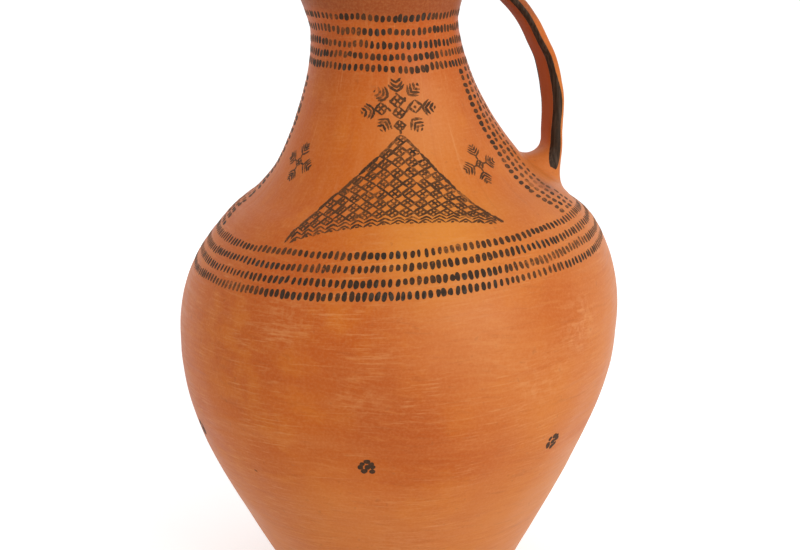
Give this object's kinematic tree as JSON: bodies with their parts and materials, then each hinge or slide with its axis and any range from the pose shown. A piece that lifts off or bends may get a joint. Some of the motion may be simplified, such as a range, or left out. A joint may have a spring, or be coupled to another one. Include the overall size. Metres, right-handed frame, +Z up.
{
  "type": "clay water jar",
  "caption": "Hand-built earthenware water jar with a round belly, narrow leaning neck, flared mouth, one strap handle and painted rings of dark dabs.",
  "frame": {"origin": "centre of the flat underside that the jar stands on, under the middle of its belly", "axes": "+Z up through the mouth, +X towards the side with the handle, which stands 14 degrees behind it, -Y towards the painted front"},
  "size_m": [0.3016, 0.3016, 0.458],
  "materials": {
    "burnished_clay": "satin, hand-burnished orange-brown earthenware",
    "raw_clay": "matt, unburnished earthenware",
    "dark_slip": "thin matt brown-black painted slip"
  },
  "bodies": {
    "root": {"base_disc": "raw_clay", "base_lute_coil": "raw_clay", "lower_wall": "burnished_clay", "belly_wall": "burnished_clay", "shoulder_wall": "burnished_clay", "neck_wall": "burnished_clay", "mouth_flare": "burnished_clay", "rim_coil": "burnished_clay", "handle_foot_lute": "burnished_clay", "handle_strap": "burnished_clay", "handle_head_lute": "burnished_clay"}
  },
  "joints": []
}
